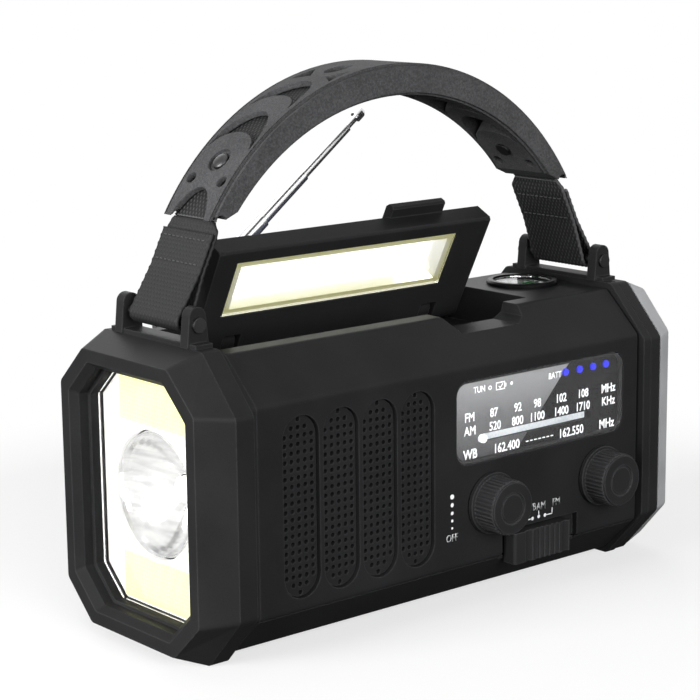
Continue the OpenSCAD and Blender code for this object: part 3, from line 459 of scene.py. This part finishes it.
# reflector glow and its yellow rim: painted light on a reflector, which is no lamp
finishes["lampReflector"] = readingLamp("reflectorWithPaintedGlow", 0.5, 1.0)
finishes["bowlWithPaintedGlow"] = bowlWithPaintedGlow("bowlWithPaintedGlow")
finishes["solar"] = solarCells("solarCells")
finishes["dialPlate"] = dialPlate("dialPlate")
finishes["dialGlass"] = clearPlastic("dialGlass", (0.97, 0.975, 0.98))
finishes["compass"] = compassCard("compassCard")

finishOf = {
    "case": ["main_case", "base_case", "lid_shell", "speaker_grille"],
    "head": ["head_shell", "bumper_right", "strap_brackets"],
    "cap": ["end_cap"],
    "control": ["volume_knob", "tuning_knob", "band_slider", "crank_arm", "battery_tray"],
    "gloss": ["compass_bowl"],
    "dialPlate": ["dial_scale"],
    "grip": ["handle_grip"],
    "softRubber": ["crank_knob", "lamp_button", "port_cover"],
    "chrome": ["antenna_knuckle", "antenna_tube_1", "antenna_tube_2", "antenna_tube_3", "antenna_rod"],
    "blackMetal": ["grip_rivets", "strap_pins"],
    "steel": ["lid_pin", "crank_shaft", "knob_yoke", "generator", "gear_plate", "port_sockets",
              "case_screws", "speaker_frame", "volume_pot"],
    "lampReflector": ["lamp_reflector"],
    "bowlWithPaintedGlow": ["main_reflector"],
    "brass": ["generator_pinion"],
    "clear": ["compass_glass", "lamp_cover"],
    "lens": ["head_lens"],
    "plateWithPaintedGlow": ["reflector_plate"],
    "pointer": ["dial_pointer"],
    "gear": ["drive_gear", "idler_gear", "tuning_capacitor"],
    "board": ["circuit_board"],
    "cellWrap": ["battery_cells"],
    "orange": ["torch_button"],
    "paper": ["speaker_cone"],
    "ledBlue": ["battery_leds"],
    "mainLamp": ["main_led"],
    "readingLamp": ["lamp_panel"],
    "panel": ["cob_panels"],
    "solar": ["solar_panel"],
    "dialGlass": ["dial_window"],
    "compass": ["compass_card"],
}
for finishName, names in finishOf.items():
    for name in names:
        node = nodes[name]
        if not node.data.materials:
            node.data.materials.append(finishes[finishName])
        for holder in node.material_slots:
            holder.material = finishes[finishName]
print("finishes put on the solids")


# mesh helpers
def pieceFromMesh(name, verts, faces, material, body, smooth=True):
    mesh = bpy.data.meshes.new(name)
    mesh.from_pydata(verts, [], faces)
    mesh.materials.append(material)
    mesh.polygons.foreach_set("use_smooth", [smooth] * len(mesh.polygons))
    mesh.update()
    piece = bpy.data.objects.new(name, mesh)
    bpy.context.scene.collection.objects.link(piece)
    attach(piece, body)
    return piece


def resampled(path, step):
    lengths = [0.0]
    for a, b in zip(path, path[1:]):
        lengths.append(lengths[-1] + math.dist(a, b))
    count = max(2, round(lengths[-1] / step))
    out, k = [], 0
    for i in range(count + 1):
        want = lengths[-1] * i / count
        while k < len(lengths) - 2 and lengths[k + 1] < want:
            k += 1
        span = lengths[k + 1] - lengths[k] or 1.0
        t = (want - lengths[k]) / span
        out.append(tuple(p + (q - p) * t for p, q in zip(path[k], path[k + 1])))
    return out


# a woven ribbon along a path in the x-z plane, its yarns as real relief
stepsPerYarn = 3
stepsPerWeft = 4
softRim = 0.0006


def wovenRibbon(path, settings, widthAt):
    relief, half = settings["relief"], settings["thick"] / 2
    points = resampled(path, settings["weft"] / stepsPerWeft)
    yarns = round(settings["width"] / settings["warp"])
    columns = stepsPerYarn * yarns
    verts, faces = [], []
    for i, point in enumerate(points):
        before, after = points[max(0, i - 1)], points[min(len(points) - 1, i + 1)]
        along = Vector((after[0] - before[0], after[1] - before[1])).normalized()
        normal = Vector((along.y, -along.x))
        wide = widthAt(i / (len(points) - 1)) / 2
        row = []
        for side in (1, -1):
            for j in range(columns + 1):
                across = j / columns if side > 0 else 1 - j / columns
                yarn = min(int(across * columns / stepsPerYarn), yarns - 1)
                part = across * columns / stepsPerYarn - yarn
                crown = 1 - (2 * part - 1) ** 2 * 0.9
                over = max(0.0, math.cos(math.pi * (i / stepsPerWeft + yarn + (side < 0))))
                rim = min(1.0, min(across, 1 - across) * settings["width"] / softRim)
                lift = half * (0.55 + 0.45 * rim) + relief * (crown * (0.3 + 0.7 * over) - 0.5)
                x = point[0] + normal.x * lift * side
                z = point[1] + normal.y * lift * side
                row.append((x, (across * 2 - 1) * wide, z))
        verts += row
    ring = 2 * (columns + 1)
    for i in range(len(points) - 1):
        for j in range(ring):
            a, b = i * ring + j, i * ring + (j + 1) % ring
            faces.append((a, b, b + ring, a + ring))
    for start, flip in ((0, False), ((len(points) - 1) * ring, True)):
        for j in range(columns):
            quad = (start + j, start + ring - 1 - j, start + ring - 2 - j, start + j + 1)
            faces.append(quad[::-1] if flip else quad)
    return verts, faces


# webbing: painted highlight on the yarn crowns and painted shade in the gaps, from the pointiness of the
# woven mesh
def wovenYarn(name, colour=(0.022, 0.022, 0.023)):
    f = Finish(name)
    high = f.wire(f.add("NewGeometry").outputs["Pointiness"])
    # pointed crowns lighter, hollow gaps darker: painted highlight and painted shade
    lift = ((high - 0.5) * 7.0).limited()
    fibre = f.noise(4200.0, 2.0, 0.7)
    base = f.mix(lift * (0.4 + fibre * 0.6), grown(colour, 0.25), grown(colour, 7.0))
    f.set(Base_Color=base, Roughness=0.5 + fibre * 0.3, Specular_IOR_Level=0.3)
    f.bump(fibre, 0.00005, 0.6)
    return f.material


webbing = {"width": 0.025, "thick": 0.0014, "warp": 0.0008, "weft": 0.00133, "relief": 0.00032,
           "pin": (0.086, 0.1027), "pinRadius": 0.0015, "tilt": 25.77, "length": 0.0311, "foldEnd": 0.0272,
           "joinAt": 0.015, "layerGap": 0.00006, "pinGap": 0.0002, "narrowFrom": 0.955,
           "coreWidth": 0.0204, "coreRadius": 0.085, "coreCentre": 0.0863, "coreAngle": 58.2}
loopSteps = 40
endSteps = 10
coreSteps = 60
finishes["webbing"] = wovenYarn("blackWebbing")
finishes["thread"] = plainFinish("sewingThread", (0.035, 0.035, 0.036), 0.45, 2000.0)


def strapPoint(side, v, w):
    tilt = -side * math.radians(webbing["tilt"])
    return (side * webbing["pin"][0] + side * w * math.cos(tilt) + v * math.sin(tilt),
            webbing["pin"][1] - side * w * math.sin(tilt) + v * math.cos(tilt))


def strapPath():
    w = webbing
    layer = w["thick"] / 2 + w["layerGap"]
    radius = w["pinRadius"] + w["pinGap"] + w["thick"] / 2
    reach = math.hypot(layer, w["joinAt"])
    touch = math.atan2(w["joinAt"], layer) - math.acos(radius / reach)
    path = [(w["foldEnd"], layer), (w["joinAt"], layer)]
    for i in range(loopSteps + 1):
        angle = touch - (math.pi + 2 * touch) * i / loopSteps
        path.append((radius * math.sin(angle), radius * math.cos(angle)))
    last = w["foldEnd"] - 0.001
    path += [(w["joinAt"], -layer), (last, -layer)]
    for i in range(1, endSteps + 1):
        t = i / endSteps
        ease = t * t * (3 - 2 * t)
        path.append((last + t * (w["length"] + 0.0012 - w["foldEnd"]), -layer * (1 - ease)))
    return path


def strapWidth(t):
    narrow = webbing["width"] - webbing["coreWidth"]
    start = webbing["narrowFrom"]
    return webbing["width"] - narrow * max(0.0, (t - start) / (1 - start))


for side, label in ((-1, "left"), (1, "right")):
    flat = [strapPoint(side, v, w) for v, w in strapPath()]
    verts, faces = wovenRibbon(flat, webbing, strapWidth)
    if side < 0:
        faces = [face[::-1] for face in faces]
    strap = pieceFromMesh("webbing_" + label, verts, faces, finishes["webbing"],
                          "strap_" + label)
    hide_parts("strap_" + label)

arc = []
for i in range(2 * coreSteps + 1):
    angle = math.radians(webbing["coreAngle"]) * (i / coreSteps - 1)
    radius = webbing["coreRadius"]
    arc.append((radius * math.sin(angle), webbing["coreCentre"] + radius * math.cos(angle)))
verts, faces = wovenRibbon(arc, dict(webbing, width=webbing["coreWidth"]), lambda t: webbing["coreWidth"])
core = pieceFromMesh("webbing_core", verts, faces, finishes["webbing"], "grip")
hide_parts("strap_core")
print("webbing woven")


# rows of lock stitches that hold the fold of each strap
stitching = {"rows": (0.0172, 0.0248), "pitch": 0.0021, "length": 0.0015, "radius": 0.00022,
             "inset": 0.0018, "lift": 0.0001, "bow": 0.00008, "rings": 7, "around": 8}


def stitchRows(side):
    s = stitching
    half = webbing["width"] / 2 - s["inset"]
    count = round(2 * half / s["pitch"])
    verts, faces = [], []
    rings, around = s["rings"], s["around"]
    for v in s["rows"]:
        for face in (1, -1):
            for k in range(count):
                y = -half + (k + 0.5) * 2 * half / count
                base = len(verts)
                for i in range(rings):
                    t = i / (rings - 1)
                    bow = math.sin(math.pi * t)
                    radius = s["radius"] * (0.35 + 0.65 * bow ** 0.5)
                    for j in range(around):
                        turn = 2 * math.pi * j / around
                        out = webbing["thick"] + s["lift"] + s["bow"] * bow + radius * math.sin(turn)
                        x, z = strapPoint(side, v + radius * math.cos(turn), face * out)
                        verts.append((x, y + (t - 0.5) * s["length"], z))
                for i in range(rings - 1):
                    for j in range(around):
                        a, b = base + i * around + j, base + i * around + (j + 1) % around
                        quad = (a, a + around, b + around, b)
                        faces.append(quad if face * side > 0 else (a, b, b + around, a + around))
                ends = (range(around), range((rings - 1) * around, rings * around))
                for n, end in enumerate(ends):
                    loop = [base + step for step in end]
                    faces.append(loop if (n == 0) == (face * side > 0) else loop[::-1])
    return verts, faces


for side, label in ((-1, "left"), (1, "right")):
    verts, faces = stitchRows(side)
    pieceFromMesh("stitching_" + label, verts, faces, finishes["thread"], "strap_" + label)
print("straps stitched")


# thin printed lettering and marks, facing -y
def letterMesh(text, height, squeeze=0.86, depth=0.00004):
    curve = bpy.data.curves.new("letters", "FONT")
    curve.body = text
    curve.align_x = "CENTER"
    curve.resolution_u = 3
    curve.offset = 0.02
    holder = bpy.data.objects.new("letters", curve)
    bpy.context.scene.collection.objects.link(holder)
    made = bpy.data.meshes.new_from_object(holder.evaluated_get(bpy.context.evaluated_depsgraph_get()))
    bpy.data.objects.remove(holder)
    bm = bmesh.new()
    bm.from_mesh(made)
    bpy.data.meshes.remove(made)
    low = min(v.co.y for v in bm.verts)
    high = max(v.co.y for v in bm.verts)
    middle = (max(v.co.x for v in bm.verts) + min(v.co.x for v in bm.verts)) / 2
    scale = height / (high - low)
    for v in bm.verts:
        v.co = ((v.co.x - middle) * scale * squeeze, (v.co.y - (low + high) / 2) * scale, 0)
    bmesh.ops.dissolve_limit(bm, angle_limit=0.02, verts=bm.verts, edges=bm.edges)
    return thickened(bm, depth)


def thickened(bm, depth):
    for face in bm.faces:
        if face.normal.z < 0:
            face.normal_flip()
    bmesh.ops.triangulate(bm, faces=bm.faces)
    lifted = bmesh.ops.extrude_face_region(bm, geom=bm.faces[:])
    for v in (part for part in lifted["geom"] if isinstance(part, bmesh.types.BMVert)):
        v.co.z += depth
    bmesh.ops.recalc_face_normals(bm, faces=bm.faces)
    return bm


def outlineMesh(loops, depth=0.00004):
    bm = bmesh.new()
    for loop in loops:
        bm.faces.new([bm.verts.new((x, z, 0)) for x, z in loop])
    return thickened(bm, depth)


def disc(x, z, radius, sides=20):
    turns = [2 * math.pi * i / sides for i in range(sides)]
    return [(x + radius * math.cos(t), z + radius * math.sin(t)) for t in turns]


def bar(x0, z0, x1, z1, width=0.0):
    if width:
        length = math.hypot(x1 - x0, z1 - z0)
        dx, dz = -(z1 - z0) / length * width / 2, (x1 - x0) / length * width / 2
        return [(x0 - dx, z0 - dz), (x1 - dx, z1 - dz), (x1 + dx, z1 + dz), (x0 + dx, z0 + dz)]
    return [(x0, z0), (x1, z0), (x1, z1), (x0, z1)]


def ringBars(x, z, outer, inner, sides=20):
    a, b = disc(x, z, outer, sides), disc(x, z, inner, sides)
    return [[a[i], a[(i + 1) % sides], b[(i + 1) % sides], b[i]] for i in range(sides)]


def printedPiece(name, words, marks, place, material, body):
    joined = bmesh.new()
    scratch = bpy.data.meshes.new("scratch")
    for text, x, z, height in words:
        bm = letterMesh(text, height * mm)
        bmesh.ops.translate(bm, verts=bm.verts, vec=(x * mm, z * mm, 0))
        bm.to_mesh(scratch)
        joined.from_mesh(scratch)
        bm.free()
    if marks:
        bm = outlineMesh([[(x * mm, z * mm) for x, z in loop] for loop in marks])
        bm.to_mesh(scratch)
        joined.from_mesh(scratch)
        bm.free()
    bpy.data.meshes.remove(scratch)
    joined.transform(place)
    mesh = bpy.data.meshes.new(name)
    joined.to_mesh(mesh)
    joined.free()
    mesh.materials.append(material)
    piece = bpy.data.objects.new(name, mesh)
    bpy.context.scene.collection.objects.link(piece)
    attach(piece, body)
    return piece


towardFront = Matrix.Rotation(math.pi / 2, 4, "X")
dialPrint = {
    "depth": -0.03725,
    "small": [("TUN", 9.6, 72.0, 2.1), ("BATT", 43.8, 71.6, 2.1)],
    "rows": [(63.5, 3.0, [("FM", 5.4), ("87", 16.1), ("92", 26.8), ("98", 35.7), ("102", 47.0),
                          ("108", 57.4), ("MHz", 69.4)]),
             (59.1, 3.0, [("AM", 5.4), ("520", 16.6), ("800", 26.7), ("1100", 35.9), ("1400", 47.1),
                          ("1710", 57.3), ("KHz", 69.5)]),
             (51.4, 3.2, [("WB", 5.6), ("162.400", 22.1), ("162.550", 51.9), ("MHz", 68.8)])],
}
words = list(dialPrint["small"])
for z, height, entries in dialPrint["rows"]:
    words += [(text, x, z, height) for text, x in entries]
marks = ringBars(14.3, 71.8, 0.75, 0.4) + [disc(23.9, 71.9, 0.6)]
marks += [bar(16.9, 70.5, 20.9, 70.85), bar(16.9, 72.75, 20.9, 73.1), bar(16.9, 70.85, 17.25, 72.75),
          bar(20.55, 70.85, 20.9, 72.75), bar(20.9, 71.2, 21.5, 72.4)]
marks += [bar(18.1, 71.8, 18.8, 71.2, 0.3), bar(18.8, 71.2, 20.0, 72.4, 0.3)]
marks += [bar(30.5 + 1.9 * i, 51.2, 31.7 + 1.9 * i, 51.6) for i in range(7)]
printedPiece("dial_print", words, marks, Matrix.Translation((0, dialPrint["depth"], 0)) @ towardFront,
             finishes["printWithPaintedGlow"], "housing")

facePrint = {
    "depth": frontY + 0.00001, "lead": 0.36, "stop": 0.62,
    "words": [("OFF", -3.2, 25.7, 2.5), ("WB", 32.0, 29.0, 2.5), ("AM", 36.6, 28.8, 2.5),
              ("FM", 43.8, 28.9, 2.5)],
    "dots": [(-3.2, 28.9, 0.42), (-3.2, 31.3, 0.5), (-3.2, 33.8, 0.6), (-3.2, 36.5, 0.7),
             (-3.2, 39.2, 0.82)],
    "stops": [(32.7, 25.1), (35.6, 25.3), (38.5, 25.2)],
    "leads": [(29.6, 25.1, 32.3, 25.1), (35.6, 25.7, 35.6, 27.3), (38.9, 25.2, 42.0, 25.2),
              (41.82, 25.2, 41.82, 27.2)],
}
marks = [disc(*dot) for dot in facePrint["dots"]]
marks += [disc(x, z, facePrint["stop"]) for x, z in facePrint["stops"]]
marks += [bar(*ends, facePrint["lead"]) for ends in facePrint["leads"]]
facePlace = Matrix.Translation((0, facePrint["depth"], 0)) @ towardFront
printedPiece("face_print", facePrint["words"], marks, facePlace, finishes["print"], "housing")
print("lettering printed")


# light strip behind the pointer slot
backlight = {"low": (0.0110, 0.0534), "high": (0.0630, 0.0570), "front": -0.0324, "thick": 0.0004}


def litStrip(name):
    f = Finish(name)
    grit = f.noise(900.0, 3.0, 0.7)
    slow = f.noise(80.0, 2.0)
    tone = f.ramp(grit * 0.5 + slow * 0.5, [(0.35, (0.46, 0.5, 0.52)), (0.6, (0.66, 0.69, 0.7))])
    f.set(Base_Color=tone, Roughness=0.5 + grit * 0.2, Emission_Color=tone, Emission_Strength=0.7)
    return f.material


b = backlight
strip = outlineMesh([bar(b["low"][0], b["low"][1], b["high"][0], b["high"][1])], b["thick"])
strip.transform(Matrix.Translation((0, b["front"] + b["thick"], 0)) @ towardFront)
bmesh.ops.bevel(strip, geom=strip.edges[:], offset=0.0001, segments=2, affect="EDGES")
mesh = bpy.data.meshes.new("dial_backlight")
strip.to_mesh(mesh)
strip.free()
mesh.materials.append(litStrip("backlightStrip"))
backlightPiece = bpy.data.objects.new("dial_backlight", mesh)
bpy.context.scene.collection.objects.link(backlightPiece)
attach(backlightPiece, "housing")

# letters on the compass card
compassPrint = {"radius": 5.7, "height": 1.9, "level": 0.09291}
words = []
for k, text in enumerate("NESW"):
    turn = math.radians(90 - 90 * k)
    words.append((text, compassPrint["radius"] * math.cos(turn), compassPrint["radius"] * math.sin(turn),
                  compassPrint["height"]))
cardPlace = Matrix.Translation((*compassAt, compassPrint["level"]))
compassInk = plainFinish("compassInk", (0.02, 0.02, 0.02), 0.5)
printedPiece("compass_print", words, [], cardPlace, compassInk, "compass_card")
print("dial and compass dressed")
